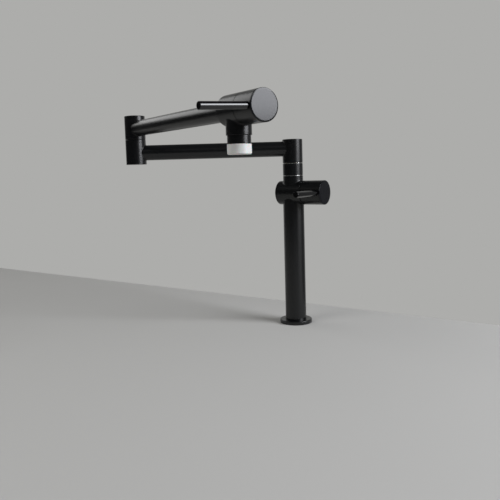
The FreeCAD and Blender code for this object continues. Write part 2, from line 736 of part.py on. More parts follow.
def handle_screw(side, where):
    """Socket screw that holds the knob on its spindle, under the end cap."""
    body = body_at(f"{side}_handle_screw", where)
    turn(body, ALONG, [("screw_tip", "0"), ("screw_tip", "screw_radius"), ("screw_seat", "screw_radius"),
                       ("screw_seat", "screw_head_radius"), ("screw_head_end", "screw_head_radius"),
                       ("screw_head_end", "0")])
    drill(body, "YZ_Plane", ("0", "0"), "screw_socket_radius", "screw_head_end - screw_socket_depth",
          "screw_socket_depth + overrun")


def end_cap(side, where):
    """Flat disc with a bevelled rim, pressed into the knob's front."""
    body = body_at(f"{side}_end_cap", where)
    turn(body, ALONG, [("cap_spigot_end", "0"), ("cap_spigot_end", "cap_spigot_radius"),
                       ("knob_front", "cap_spigot_radius"), ("knob_front", "barrel_radius"),
                       ("knob_length - edge_bevel", "barrel_radius"), ("knob_length", "cap_face_radius"),
                       ("knob_length", "0")])


def lever(side, where):
    """Round rod, seated in the knob's side and held there by its stud. It points to -Y of the knob."""
    sideways = place("lever_x", yaw="-right_angle")
    body = body_at(f"{side}_lever", f"{where} * {sideways}")
    turn(body, ALONG, [("lever_stud_reach", "0"), ("lever_stud_reach", "lever_stud_radius"),
                       ("lever_seat", "lever_stud_radius"), ("lever_seat", "lever_radius"),
                       ("lever_reach - lever_bevel", "lever_radius"),
                       ("lever_reach", "lever_radius - lever_bevel"), ("lever_reach", "0")])


def valve(side, x, y, height, yaw, tilt):
    """Headwork, knob and lever of one valve. x = 0 is the knob's seam, +x points out of the knob."""
    still = place(x, y, height, yaw)
    turned = place(x, y, height, yaw, "0", tilt)
    headwork(side, still)
    ceramic_disc(f"{side}_turning_disc", turned, "-turning_disc_back", "-turning_disc_front",
                 "turning_disc_radius")
    spindle(side, turned)
    across = place("spindle_ring_depth", pitch="right_angle")
    o_ring(f"{side}_spindle_o_ring", f"{still} * {across}", "spindle_radius - spindle_ring_tube",
           "spindle_ring_tube")
    knob(side, turned)
    handle_screw(side, turned)
    end_cap(side, turned)
    lever(side, turned)


# Worktop fixing and column
base_flange()
ring("base_gasket", DECK, "gasket_inner_radius", "gasket_outer_radius", "0", "gasket_height")
mounting_shank()
o_ring("column_foot_o_ring", place(z="shank_ring_height"), "spigot_radius - ring_tube", "ring_tube")
ring("rubber_washer", DECK, "washer_bore", "rubber_washer_radius", "-steel_washer_top", "-deck_thickness")
ring("steel_washer", DECK, "washer_bore", "steel_washer_radius", "-nut_top", "-steel_washer_top")
shank_nut()
column_tube()

# Lower valve body and the swivel above it
lower_valve_body()
o_ring("column_top_o_ring", place(z="lower_barrel_height + body_ring_height"), "spigot_radius - ring_tube",
       "ring_tube")
swivel_post("column_post", place(z="hub_bottom"), "column_post_drop")
post_rings("column_post_o_rings", "0", "0", "hub_bottom")
ring("collar_lower_washer", DECK, "post_hole", "washer_radius", "neck_top", "collar_bottom")
swivel_collar()
ring("collar_upper_washer", DECK, "post_hole", "washer_radius", "collar_top", "collar_top + washer_height")

# Arm 1 with the lower half of the knuckle
turning_hub("arm_1_hub", ARM_1, "hub_below", "hub_above", False)
grub_screw("arm_1_grub_screw", place(z="hub_bottom + catch_height", yaw="arm_1_angle - right_angle"))
arm_tube("arm_1_tube", ARM_1, "arm_1_length", ("0", "arm_1_length"))
knuckle_lower()
swivel_post("knuckle_post", place("knuckle_x", "knuckle_y", "upper_bottom"), "knuckle_post_drop")
post_rings("knuckle_post_o_rings", "knuckle_x", "knuckle_y", "upper_bottom")
ring("knuckle_washer", place("knuckle_x", "knuckle_y"), "post_hole", "knuckle_washer_radius",
     "knuckle_top", "knuckle_top + knuckle_washer_height")

# Arm 2 with the outlet
turning_hub("knuckle_upper", UPPER_KNUCKLE, "upper_below", "upper_above", True)
grub_screw("arm_2_grub_screw",
           place("knuckle_x", "knuckle_y", "upper_bottom + catch_height", "arm_2_angle + right_angle"))
arm_tube("arm_2_tube", UPPER_KNUCKLE, "arm_2_end")
spout_valve_body()
aerator_housing()
ring("aerator_gasket", SPOUT, "gasket_ring_bore", "outlet_spigot_radius", "-outlet_spigot_top",
     "-gasket_ring_top")
aerator_ring()
perforated("aerator_insert", "insert_top", "insert_bottom", "insert_hole_radius")
perforated("aerator_screen", "screen_top", "insert_top", "screen_hole_radius")

# Both valves
valve("lower", "lower_seam", "0", "lower_barrel_height", "0", "lower_lever_tilt")
valve("spout", "spout_seam_x", "spout_seam_y", "arm_2_height", "arm_2_angle", "spout_lever_tilt")

doc.recompute()

KINDS = ("PartDesign::Body", "Part::Cut", "Part::Compound", "Part::Torus")
HOLDERS = ("Part::Cut", "Part::Compound")
pieces = [item for item in doc.Objects
          if item.TypeId in KINDS and not any(user.TypeId in HOLDERS for user in item.InList)]
for item in doc.Objects:
    if {"Invalid", "Error"} & set(item.State):
        raise SystemExit(f"{item.Label} failed: {item.State}")
for piece in pieces:
    if piece.Shape.isNull() or not piece.Shape.isValid():
        raise SystemExit(f"{piece.Label} has no valid shape")

os.makedirs("parts", exist_ok=True)
for piece in pieces:
    piece.Shape.exportStep(f"parts/{piece.Label}.step")
print(len(pieces), "pieces written")
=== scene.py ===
import json
import math

import bmesh
import bpy
from mathutils import Matrix, Vector


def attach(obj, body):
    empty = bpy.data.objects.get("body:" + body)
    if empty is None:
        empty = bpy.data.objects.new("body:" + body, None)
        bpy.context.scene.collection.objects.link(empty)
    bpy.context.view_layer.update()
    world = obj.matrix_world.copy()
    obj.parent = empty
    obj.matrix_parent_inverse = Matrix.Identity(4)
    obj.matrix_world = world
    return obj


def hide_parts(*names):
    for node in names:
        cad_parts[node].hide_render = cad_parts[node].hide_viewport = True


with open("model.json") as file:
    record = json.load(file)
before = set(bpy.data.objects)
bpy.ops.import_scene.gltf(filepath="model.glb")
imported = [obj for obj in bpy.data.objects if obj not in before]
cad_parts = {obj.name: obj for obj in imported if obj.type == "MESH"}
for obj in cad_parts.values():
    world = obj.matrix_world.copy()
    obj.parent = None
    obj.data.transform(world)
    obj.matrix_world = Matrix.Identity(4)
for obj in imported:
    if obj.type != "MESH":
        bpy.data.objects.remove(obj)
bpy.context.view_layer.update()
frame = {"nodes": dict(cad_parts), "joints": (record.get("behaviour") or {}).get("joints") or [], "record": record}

# Column foot. A turned brass plate, sprayed with satin black lacquer, that hides the hole in the worktop
# and takes the column's end. A rubber ring is let into its underside.
MM = 0.001
UP = Vector((0, 0, 1))
X_AXIS = Vector((1, 0, 0))


def linear(colour):
    """Turns an sRGB hex colour into the linear one that a shader wants."""
    parts = [int(colour[i:i + 2], 16) / 255 for i in (1, 3, 5)]
    return [p / 12.92 if p <= 0.04045 else ((p + 0.055) / 1.055) ** 2.4 for p in parts] + [1]


def add(tree, kind, sockets=None, **fields):
    """Adds a node with its fields set, and each socket fed with a value or another node's output."""
    node = tree.nodes.new(kind)
    for field, choice in fields.items():
        setattr(node, field, choice)
    for key, feed in (sockets or {}).items():
        if isinstance(feed, bpy.types.NodeSocket):
            tree.links.new(feed, node.inputs[key])
        else:
            node.inputs[key].default_value = feed
    return node


def surface(name, settings):
    """A new material, with these settings on its shader."""
    material = bpy.data.materials.new(name)
    material.use_nodes = True
    shader = material.node_tree.nodes["Principled BSDF"]
    for key, setting in settings.items():
        shader.inputs[key].default_value = setting
    return material


def grain(material, size, depth, roughness, stretch=(1, 1, 1)):
    """Gives a finish bumps of this size and depth, in millimetres, and a roughness that varies with them.

    `stretch` says how many times finer the bumps are along each axis.
    """
    tree = material.node_tree
    shader = tree.nodes["Principled BSDF"]
    place = add(tree, "ShaderNodeTexCoord")
    stretched = add(tree, "ShaderNodeMapping", {"Vector": place.outputs["Object"], "Scale": stretch})
    noise = add(tree, "ShaderNodeTexNoise", {"Vector": stretched.outputs["Vector"], "Scale": 1 / (size * MM),
                                             "Detail": 3.0, "Roughness": 0.55})
    spread = add(tree, "ShaderNodeMapRange", {"Value": noise.outputs["Fac"],
                                              "From Min": 0.3, "From Max": 0.7,
                                              "To Min": roughness[0], "To Max": roughness[1]})
    bump = add(tree, "ShaderNodeBump", {"Height": noise.outputs["Fac"], "Distance": depth * MM})
    tree.links.new(spread.outputs["Result"], shader.inputs["Roughness"])
    tree.links.new(bump.outputs["Normal"], shader.inputs["Normal"])
    return material


def seat(origin, along, towards):
    """Where a piece drawn in millimetres sits, with its Z along `along` and its X pointing `towards`."""
    turn = Matrix((towards, along.cross(towards), along)).transposed().to_4x4()
    return Matrix.Translation(Vector(origin) * MM) @ turn @ Matrix.Scale(MM, 4)


# A row of points this far from a rounded edge keeps the wall beside it flat in its shading.
HOLD = 0.12


def swung(start, end, share):
    """A round's radius, swung by this share of the way from its start to its end."""
    sweep = start.angle(end)
    swing = start * math.sin(sweep * (1 - share)) + end * math.sin(sweep * share)
    return swing / math.sin(sweep)


def outline(corners, step):
    """Points along an outline, none more than `step` from the next. A corner's third number rounds it."""
    points = [Vector(corners[0][:2])]
    for before, corner, after in zip(corners, corners[1:], corners[2:]):
        spot = Vector(corner[:2])
        if len(corner) == 2:
            points.append(spot)
            continue
        back = (Vector(before[:2]) - spot).normalized()
        ahead = (Vector(after[:2]) - spot).normalized()
        half = back.angle(ahead) / 2
        reach = corner[2] / math.tan(half)
        middle = spot + (back + ahead).normalized() * (corner[2] / math.sin(half))
        start = spot + back * reach - middle
        end = spot + ahead * reach - middle
        steps = max(3, math.ceil(start.angle(end) / math.radians(12)))
        points.append(spot + back * (reach + HOLD))
        points += [middle + swung(start, end, k / steps) for k in range(steps + 1)]
        points.append(spot + ahead * (reach + HOLD))
    points.append(Vector(corners[-1][:2]))
    filled = points[:1]
    for point in points[1:]:
        count = math.ceil((point - filled[-1]).length / step)
        first = filled[-1]
        filled += [first.lerp(point, (k + 1) / count) for k in range(count)]
    return filled


def bridge(mesh, first, second, column):
    """One face between two rings of points. A ring of one point is a pole."""
    ahead = column + 1
    corners = [first[column % len(first)], first[ahead % len(first)],
               second[ahead % len(second)], second[column % len(second)]]
    mesh.faces.new(list(dict.fromkeys(corners)))


def turned(corners, openings=(), closed=False, shape=None, step=2.0, columns=192):
    """Turns an outline of (radius, height) corners about Z, and opens its wall where branches leave it.

    `shape` may move a point of the turned wall, and `columns` is how many flats make one turn.
    """
    mesh = bmesh.new()
    rows = []
    profile = outline(corners + corners[:1] if closed else corners, step)
    if closed:
        profile.pop()
    for radius, height in profile:
        row = []
        for i in range(columns if radius > 1e-6 else 1):
            angle = math.tau * i / columns
            rim, level = shape(radius, height, angle) if shape else (radius, height)
            row.append(mesh.verts.new((rim * math.cos(angle), rim * math.sin(angle), level)))
        rows.append(row)
    levels = [height for radius, height in profile]
    for j in range(len(rows) if closed else len(rows) - 1):
        after = (j + 1) % len(rows)
        for i in range(columns):
            if not any(opening.holds(i, profile[j], profile[after], columns) for opening in openings):
                bridge(mesh, rows[j], rows[after], i)
    for opening in openings:
        opening.build(mesh, rows, levels, columns)
    loose = [corner for corner in mesh.verts if not corner.link_faces]
    bmesh.ops.delete(mesh, geom=loose, context="VERTS")
    bmesh.ops.recalc_face_normals(mesh, faces=mesh.faces)
    return mesh


def fit(mesh, name, where, material, body, slot, *nodes):
    """Makes a finished piece of a mesh, in its place, for the nodes that it stands for."""
    mesh.transform(where)
    data = bpy.data.meshes.new(name)
    mesh.to_mesh(data)
    mesh.free()
    data.materials.append(material)
    data.shade_smooth()
    data.set_sharp_from_angle(angle=math.radians(30))
    piece = bpy.data.objects.new(name, data)
    bpy.context.scene.collection.objects.link(piece)
    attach(piece, body)
    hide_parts(*nodes)


# Satin black lacquer, sprayed: almost no colour of its own, a soft sheen that spreads each highlight, and
# the faint orange peel of a sprayed coat.
satin_lacquer = grain(surface("satin_black_lacquer", {"Base Color": linear("#0c0d0e"), "IOR": 1.5}),
                      size=0.7, depth=0.004, roughness=(0.26, 0.30))
# Nitrile rubber, moulded: matt and a little grey. Its grain is drawn coarser than the real one, to show.
nitrile_rubber = grain(surface("moulded_nitrile_rubber", {"Base Color": linear("#1a1a1b"), "IOR": 1.52}),
                       size=0.4, depth=0.01, roughness=(0.62, 0.78))

deck = seat((0, 0, 0), UP, X_AXIS)
slip = 0.05  # the air between two pieces that are put together
flange_radius = 26
flange_height = 6
flange_recess = 3
column_radius = 16.8
shank_hole = 14.2
seal_inner = 17.4
seal_outer = 22.6
seal_thickness = 2
seal_air = 0.1
fit(turned([(seal_outer, 0), (flange_radius, 0, 0.3), (flange_radius, flange_height, 1.2),
            (column_radius + slip, flange_height, 0.2), (column_radius + slip, flange_recess),
            (shank_hole, flange_recess), (shank_hole, 0), (seal_inner, 0),
            (seal_inner, seal_thickness + slip), (seal_outer, seal_thickness + slip)], closed=True),
    "base_plate", deck, satin_lacquer, "root", "satin_black", "base_flange")
fit(turned([(seal_inner + seal_air, 0, 0.2), (seal_outer - seal_air, 0, 0.2),
            (seal_outer - seal_air, seal_thickness), (seal_inner + seal_air, seal_thickness)], closed=True),
    "base_seal", deck, nitrile_rubber, "root", "black_rubber", "base_gasket")

# Fixing under the worktop. A turned brass shank comes down through the hole, and a rubber washer, a steel
# washer and a six-sided brass nut clamp the tap from below. The shank's thread is cut on a lathe, and its
# bottom end has a short inner thread for the supply hose.


def thread_tree():
    """Cuts a helical thread in a turned wall: each point of that radius moves in or out with its turn."""
    tree = bpy.data.node_groups.new("cut_thread", "GeometryNodeTree")
    face = tree.interface
    face.new_socket("Geometry", in_out="INPUT", socket_type="NodeSocketGeometry")
    for word in ("Wall Radius", "Depth", "Pitch", "Foot", "Top"):
        face.new_socket(word, in_out="INPUT", socket_type="NodeSocketFloat")
    face.new_socket("Finish", in_out="INPUT", socket_type="NodeSocketMaterial")
    face.new_socket("Geometry", in_out="OUTPUT", socket_type="NodeSocketGeometry")
    given = add(tree, "NodeGroupInput").outputs
    spot = add(tree, "ShaderNodeSeparateXYZ", {0: add(tree, "GeometryNodeInputPosition").outputs[0]}).outputs
    level = add(tree, "ShaderNodeCombineXYZ", {"X": spot["X"], "Y": spot["Y"]}).outputs[0]
    radius = add(tree, "ShaderNodeVectorMath", {0: level}, operation="LENGTH").outputs["Value"]
    outward = add(tree, "ShaderNodeVectorMath", {0: level}, operation="NORMALIZE").outputs[0]
    angle = add(tree, "ShaderNodeMath", {0: spot["Y"], 1: spot["X"]}, operation="ARCTAN2").outputs[0]
    turn = add(tree, "ShaderNodeMath", {0: angle, 1: math.tau}, operation="DIVIDE").outputs[0]
    climb = add(tree, "ShaderNodeMath", {0: spot["Z"], 1: given["Pitch"]}, operation="DIVIDE").outputs[0]
    phase = add(tree, "ShaderNodeMath", {0: climb, 1: turn}, operation="SUBTRACT").outputs[0]
    # The crest and the root stay flat for 0.06 of the pitch on either side, and the flanks join them.
    ridge = add(tree, "ShaderNodeMath", {0: phase, 1: 0.5}, operation="PINGPONG").outputs[0]
    cut = add(tree, "ShaderNodeMapRange", {"Value": ridge, "From Min": 0.06, "From Max": 0.44}).outputs[0]
    # The thread runs out over the first and last 0.04 of its length.
    run = add(tree, "ShaderNodeMapRange", {"Value": spot["Z"], "From Min": given["Foot"],
                                           "From Max": given["Top"]}).outputs[0]
    fade = add(tree, "ShaderNodeMath", {0: run, 1: 0.5}, operation="PINGPONG").outputs[0]
    full = add(tree, "ShaderNodeMapRange", {"Value": fade, "From Min": 0.0, "From Max": 0.04}).outputs[0]
    deep = add(tree, "ShaderNodeMath", {0: cut, 1: full}, operation="MULTIPLY").outputs[0]
    shift = add(tree, "ShaderNodeMath", {0: deep, 1: given["Depth"]}, operation="MULTIPLY").outputs[0]
    offset = add(tree, "ShaderNodeVectorMath", {0: outward, "Scale": shift}, operation="SCALE").outputs[0]
    on_wall = add(tree, "FunctionNodeCompare", {"A": radius, "B": given["Wall Radius"],
                                                "Epsilon": 0.02 * MM}, operation="EQUAL").outputs[0]
    moved = add(tree, "GeometryNodeSetPosition", {"Geometry": given["Geometry"], "Selection": on_wall,
                                                  "Offset": offset}).outputs[0]
    real = add(tree, "GeometryNodeRealizeInstances", {"Geometry": moved}).outputs[0]
    finished = add(tree, "GeometryNodeSetMaterial", {"Geometry": real, "Material": given["Finish"]})
    add(tree, "NodeGroupOutput", {"Geometry": finished.outputs[0]})
    return tree


def grow(data, tree, inputs):
    """Runs a Geometry Nodes tree on a mesh and returns the plain mesh that comes out."""
    holder = bpy.data.objects.new("holder", data)
    bpy.context.scene.collection.objects.link(holder)
    modifier = holder.modifiers.new("grow", "NODES")
    modifier.node_group = tree
    for item in tree.interface.items_tree:
        if item.in_out == "INPUT" and item.name in inputs:
            modifier[item.identifier] = inputs[item.name]
    solved = holder.evaluated_get(bpy.context.evaluated_depsgraph_get())
    result = bpy.data.meshes.new_from_object(solved)
    bpy.data.objects.remove(holder)
    return result


# Brass, turned and left bare: a pale yellow metal with rings of tool marks 0.14 mm apart, which blur what it
# mirrors along the piece.
turned_brass = grain(surface("turned_brass", {"Base Color": linear("#d8c48e"), "Metallic": 1.0}),
                     size=2.0, depth=0.003, roughness=(0.22, 0.36), stretch=(1, 1, 14))
# Stainless steel, cold-rolled and punched: a silky grey with lines along the rolling. The real lines are too
# fine to show, so they are drawn 0.3 mm wide.
rolled_steel = grain(surface("rolled_stainless_steel", {"Base Color": linear("#b9b9b6"), "Metallic": 1.0}),
                     size=1.6, depth=0.004, roughness=(0.24, 0.38), stretch=(6, 1, 1))

# Heights are from the worktop's top face.
shank_radius = 14
shank_foot = -60
shank_bore = 8
bore_top = 20
land = 1  # the bevel at the thread's foot, and the plain land above it
inlet_radius = 9.3
inlet_bevel = 0.8
inlet_top = shank_foot + 14
spigot_radius = 14.7
spigot_foot = flange_recess - 0.1
spigot_top = 24.9
shank_ring = 14
groove_radius = 13
groove_width = 2.1
thread_pitch = 1.8
outer_thread = 0.9
inner_thread = 0.8


def ring_groove(middle):
    """The corners of the square groove that holds an O-ring against the column's bore."""
    low = middle - groove_width / 2
    high = middle + groove_width / 2
    return [(spigot_radius, low), (groove_radius, low), (groove_radius, high), (spigot_radius, high)]


# The points lie close enough together to carry the thread.
shank = turned([(0, bore_top), (shank_bore, bore_top), (shank_bore, inlet_top), (inlet_radius, inlet_top),
                (inlet_radius, shank_foot + inlet_bevel), (inlet_radius + inlet_bevel, shank_foot),
                (shank_radius - land, shank_foot), (shank_radius, shank_foot + land), (shank_radius, -land),
                (shank_radius, spigot_foot), (spigot_radius, spigot_foot), *ring_groove(shank_ring),
                (spigot_radius, spigot_top), (0, spigot_top)], step=0.24, columns=96)
shank.transform(deck)
threaded = bpy.data.meshes.new("blank")
shank.to_mesh(threaded)
shank.free()
cut_thread = thread_tree()
for wall, outward, foot, top in ((shank_radius, -outer_thread, shank_foot + land, -land),
                                 (inlet_radius, inner_thread, shank_foot, inlet_top)):
    threaded = grow(threaded, cut_thread, {"Wall Radius": wall * MM, "Depth": outward * MM,
                                           "Pitch": thread_pitch * MM, "Foot": foot * MM, "Top": top * MM,
                                           "Finish": turned_brass})
shank = bmesh.new()
shank.from_mesh(threaded)
fit(shank, "threaded_shank", Matrix.Identity(4), turned_brass, "root", "brass", "mounting_shank")

worktop_thickness = 30
rubber_radius = 25
rubber_thickness = 3
steel_radius = 24
steel_thickness = 2
steel_top = -worktop_thickness - rubber_thickness
nut_top = steel_top - steel_thickness
nut_foot = nut_top - 8
nut_bore = shank_radius + slip
nut_flat = 19  # from the nut's axis to each of its six sides
bevel_slope = 1.7


def six_sides(flat, angle):
    """How far a six-sided outline lies from its axis."""
    return flat / math.cos(angle % math.radians(60) - math.radians(30))


def nut_sides(radius, height, angle):
    """Gives the nut's blank its six sides, with their corners bevelled at both faces."""
    if radius < nut_flat:
        return radius, height
    from_face = min(nut_top - height, height - nut_foot)
    return min(six_sides(nut_flat, angle), nut_flat + from_face * bevel_slope), height


fit(turned([(nut_bore, nut_foot), (nut_flat, nut_foot), (nut_flat, nut_top), (nut_bore, nut_top)],
           closed=True, shape=nut_sides, step=0.2),
    "back_nut", deck, turned_brass, "root", "brass", "shank_nut")
fit(turned([(shank_hole, nut_top), (steel_radius, nut_top, 0.4), (steel_radius, steel_top, 0.4),
            (shank_hole, steel_top)], closed=True),
    "steel_ring", deck, rolled_steel, "root", "stainless_steel", "steel_washer")
fit(turned([(shank_hole, steel_top), (rubber_radius, steel_top, 0.5),
            (rubber_radius, -worktop_thickness, 0.5), (shank_hole, -worktop_thickness)], closed=True),
    "rubber_ring", deck, nitrile_rubber, "root", "black_rubber", "rubber_washer")

# Column. A drawn brass tube, its foot in the base plate and its top cut to the round of the barrel that it
# is soldered to. The barrels of both valves are the same across.
barrel_radius = 19.1
lower_height = 212.5
column_bore = 14.8
plain_end = 190  # the wall is plain up to here, and the cope starts above


def coped_top(radius, height, angle):
    """Lets the tube's top end follow the barrel above it."""
    if height < lower_height:
        return radius, height
    aside = radius * math.sin(angle)
    return radius, lower_height - math.sqrt((barrel_radius + slip) ** 2 - aside ** 2)


fit(turned([(column_bore, flange_recess), (column_radius, flange_recess), (column_radius, plain_end),
            (column_radius, lower_height), (column_bore, lower_height), (column_bore, plain_end)],
           closed=True, shape=coped_top, step=20),
    "upright_tube", deck, satin_lacquer, "root", "satin_black", "column_tube")

# Lower valve body. A cast and machined brass tee: the barrel lies across, the swivel's neck stands on it
# with a small cast fillet round its foot, and a spigot reaches down into the column. The front is bored for
# the quarter-turn headwork.


class Branch:
    """A round branch or hole in a turned wall, with the fillet that a ball rolled round the corner leaves.

    Its axis leaves the wall at `facing` degrees and at `height`. The wall is cut away from `low` to `high`
    and `half_width` degrees to either side. `bead` is the fillet's radius, `corners` give the branch from
    there on as (radius, distance from the turned piece's axis), and a socket also has a `floor`.
    """

    near = 1e-4

    def __init__(self, facing, height, low, high, half_width, wall, radius, bead, corners, floor=0):
        self.facing = math.radians(facing)
        self.height = height
        self.low = low
        self.high = high
        self.half_width = math.radians(half_width)
        self.wall = wall
        self.radius = radius
        self.bead = bead
        self.corners = corners
        self.floor = floor

    def holds(self, column, first, second, columns):
        """True where a face of the wall lies in the branch's window."""
        for radius, height in (first, second):
            inside = self.low - self.near < height < self.high + self.near
            if not inside or abs(radius - self.wall) > self.near:
                return False
        angle = math.tau * (column + 0.5) / columns - self.facing
        return abs(math.remainder(angle, math.tau)) < self.half_width

    def rim(self, rows, levels, columns):
        """The corners round the window, in order."""
        left = round((self.facing - self.half_width) * columns / math.tau)
        right = round((self.facing + self.half_width) * columns / math.tau)
        inside = [j for j, level in enumerate(levels) if self.low - self.near < level < self.high + self.near
                  and len(rows[j]) == columns
                  and abs(rows[j][0].co.xy.length - self.wall) < self.near]
        inside.sort(key=lambda j: levels[j])
        around = [rows[inside[0]][i % columns] for i in range(left, right)]
        around += [rows[j][right % columns] for j in inside[:-1]]
        around += [rows[inside[-1]][i % columns] for i in range(right, left, -1)]
        around += [rows[j][left % columns] for j in reversed(inside[1:])]
        return around

    def build(self, mesh, rows, levels, columns):
        """Fills the window with a patch of wall, the fillet and the branch."""
        out = Vector((math.cos(self.facing), math.sin(self.facing), 0))
        side = UP.cross(out)
        ring = self.rim(rows, levels, columns)
        count = len(ring)
        rims = [corner.co.copy() for corner in ring]
        turns = [math.atan2(spot.dot(side), spot.z - self.height) for spot in rims]
        ball = self.wall + self.bead
        reach = self.radius + self.bead
        centres = [out * math.sqrt(ball ** 2 - (reach * math.sin(turn)) ** 2)
                   + side * reach * math.sin(turn) + UP * (self.height + reach * math.cos(turn))
                   for turn in turns]
        # The patch's rings crowd towards the fillet, where the light changes fastest.
        for share in (0.14, 0.28, 0.42, 0.56, 0.7, 0.82, 0.92, 0.98, 1):
            spots = []
            for spot, centre in zip(rims, centres):
                from_angle = math.atan2(spot.dot(side), spot.dot(out))
                to_angle = math.atan2(centre.dot(side), centre.dot(out))
                angle = from_angle + (to_angle - from_angle) * share
                level = spot.z + (centre.z - spot.z) * share
                spots.append((out * math.cos(angle) + side * math.sin(angle)) * self.wall + UP * level)
            ring = self.add_ring(mesh, ring, spots)
        if self.bead:
            for k in range(1, 11):
                spots = [self.rolled(side, turn, centre, k / 10) for turn, centre in zip(turns, centres)]
                ring = self.add_ring(mesh, ring, spots)
            ring = self.add_ring(mesh, ring, [spot + out * HOLD * self.away() for spot in spots])
        for radius, reach in outline(self.corners, 2.0):
            if radius < 1e-6:
                spots = [out * reach + UP * self.height]
            else:
                spots = [out * self.depth(reach, radius * math.sin(turn)) + side * radius * math.sin(turn)
                         + UP * (self.height + radius * math.cos(turn)) for turn in turns]
            ring = self.add_ring(mesh, ring, spots, count)

    def away(self):
        """1 where the branch stands out of the wall, -1 where it is a socket in it."""
        return -1 if self.floor else 1

    def depth(self, reach, aside):
        """How far out a point of the branch lies. A socket's floor follows the bore behind it."""
        return math.sqrt(reach ** 2 - aside ** 2) if self.floor else reach

    def rolled(self, side, turn, centre, share):
        """A point on the fillet, from the wall, where share is 0, to the branch, where it is 1."""
        flat = Vector((centre.x, centre.y, 0))
        from_wall = -flat.normalized() * self.bead
        to_branch = -(side * math.sin(turn) + UP * math.cos(turn)) * self.bead
        return centre + swung(from_wall, to_branch, share)

    def add_ring(self, mesh, ring, spots, count=0):
        """Adds the next ring of corners, joined to the last one."""
        made = [mesh.verts.new(spot) for spot in spots]
        for i in range(count or len(ring)):
            bridge(mesh, ring, made, i)
        return made


lower_barrel = seat((0, 0, lower_height), X_AXIS, UP)
eased = 0.35  # how far a turned edge is rounded before it is lacquered
seam_edge = 0.12  # the same, where a fine seam is meant to show
back_edge = 0.9  # the same, round the back of a barrel
# The neck and the spigot are measured from the barrel's axis, and the barrel from the column's axis.
neck_radius = 16
neck_root = 20.9
neck_end = 27
post_hole = 11.05
hole_floor = 20.6
spigot_ring = 27.1
spigot_end = 35.1
spigot_bore = 11
lower_window = 19.6
lower_seam = 21.05
lower_back = -23.2
headwork_hole = 10.5
headwork_floor = -2.7
chamber_radius = 8.5
chamber_floor = -19.2
neck = Branch(facing=0, height=0, low=-lower_window, high=lower_window, half_width=75, wall=barrel_radius,
              radius=neck_radius, bead=1.5,
              corners=[(neck_radius, neck_root), (neck_radius, neck_end, eased), (post_hole, neck_end),
                       (post_hole, hole_floor), (0, hole_floor)])
spigot = Branch(facing=180, height=0, low=-lower_window, high=lower_window, half_width=75,
                wall=barrel_radius, radius=spigot_radius, bead=0,
                corners=[*ring_groove(spigot_ring), (spigot_radius, spigot_end), (spigot_bore, spigot_end),
                         (spigot_bore, hole_floor), (0, hole_floor)])
fit(turned([(0, lower_back), (barrel_radius, lower_back, back_edge), (barrel_radius, -lower_window),
            (barrel_radius, lower_window), (barrel_radius, lower_seam, seam_edge),
            (headwork_hole, lower_seam), (headwork_hole, headwork_floor), (chamber_radius, headwork_floor),
            (chamber_radius, chamber_floor), (0, chamber_floor)], [neck, spigot], step=1.25),
    "lower_tee", lower_barrel, satin_lacquer, "root", "satin_black", "lower_valve_body")

# Swivel collar. A turned sleeve round the hidden post, between two thin polished washers that the arm's
# weight rests on. Only the washers' bright edges show.

# Stainless steel, polished round the rim: a bright line that mirrors the lamps. The polishing marks are
# drawn 0.12 mm apart, because the real ones are too fine to show.
polished_steel = grain(surface("polished_steel", {"Base Color": linear("#c4c4c2"), "Metallic": 1.0}),
                       size=1.2, depth=0.001, roughness=(0.16, 0.24), stretch=(1, 1, 10))
collar_bottom = 240.4
collar_top = 259.1
washer_radius = 15.85
washer_height = 0.9
fit(turned([(post_hole, collar_bottom), (neck_radius, collar_bottom, eased),
            (neck_radius, collar_top, eased), (post_hole, collar_top)], closed=True),
    "collar_sleeve", deck, satin_lacquer, "root", "satin_black", "swivel_collar")
for end, foot in (("lower", collar_bottom - washer_height), ("upper", collar_top)):
    node = "collar_" + end + "_washer"
    fit(turned([(post_hole, foot), (washer_radius, foot, 0.25), (washer_radius, foot + washer_height, 0.25),
                (post_hole, foot + washer_height)], closed=True),
        node + "_ring", deck, polished_steel, "root", "bright_washer", node)

# Arm 1. A brass tube soldered into a hub at the column and into the knuckle's lower half at its far end,
# with a thin bead of solder under the lacquer. The hub drops over the swivel post; a grub screw in its side
# keeps it there.
joints = {joint["name"]: joint for joint in frame["joints"]}
arm_1_height = 282.8
arm_2_height = 320.9
knuckle = Vector(joints["arm_2_swivel"]["pos_m"]) / MM
arm_1_way = Vector((knuckle.x, knuckle.y, 0)).normalized()
arm_radius = 12
arm_wall = 1.5
hub_radius = 16
hub_bore = 11.08
end_wall = 3.5  # what closes a hub, or the knuckle's lower half, at its blind end
top_bevel = 0.7
socket_radius = arm_radius + 0.02
socket_window = 13.4
tube_start = 12.2
tube_plain = 14  # an arm tube's wall is plain from here on, and its end is shaped before it
socket_floor = tube_start - slip
floor_ring = 4  # a ring of corners on the socket's curved floor, so that its faces follow the curve
grub_rise = 3.6  # how far a grub screw sits above its hub's foot
grub_window = 2.6
grub_half_width = 13.125  # seven of the wall's flats
grub_radius = 2
grub_floor = 11.6


def tube_socket():
    """The side of a hub that takes an arm tube."""
    return Branch(facing=0, height=0, low=-socket_window, high=socket_window, half_width=60,
                  wall=hub_radius, radius=socket_radius, bead=0.9,
                  corners=[(socket_radius, socket_floor), (floor_ring, socket_floor), (0, socket_floor)],
                  floor=socket_floor)


def grub_hole(facing, height):
    """The hole for a grub screw in a hub's side."""
    return Branch(facing, height, low=height - grub_window, high=height + grub_window,
                  half_width=grub_half_width, wall=hub_radius, radius=grub_radius, bead=0,
                  corners=[(grub_radius, grub_floor), (0, grub_floor)])


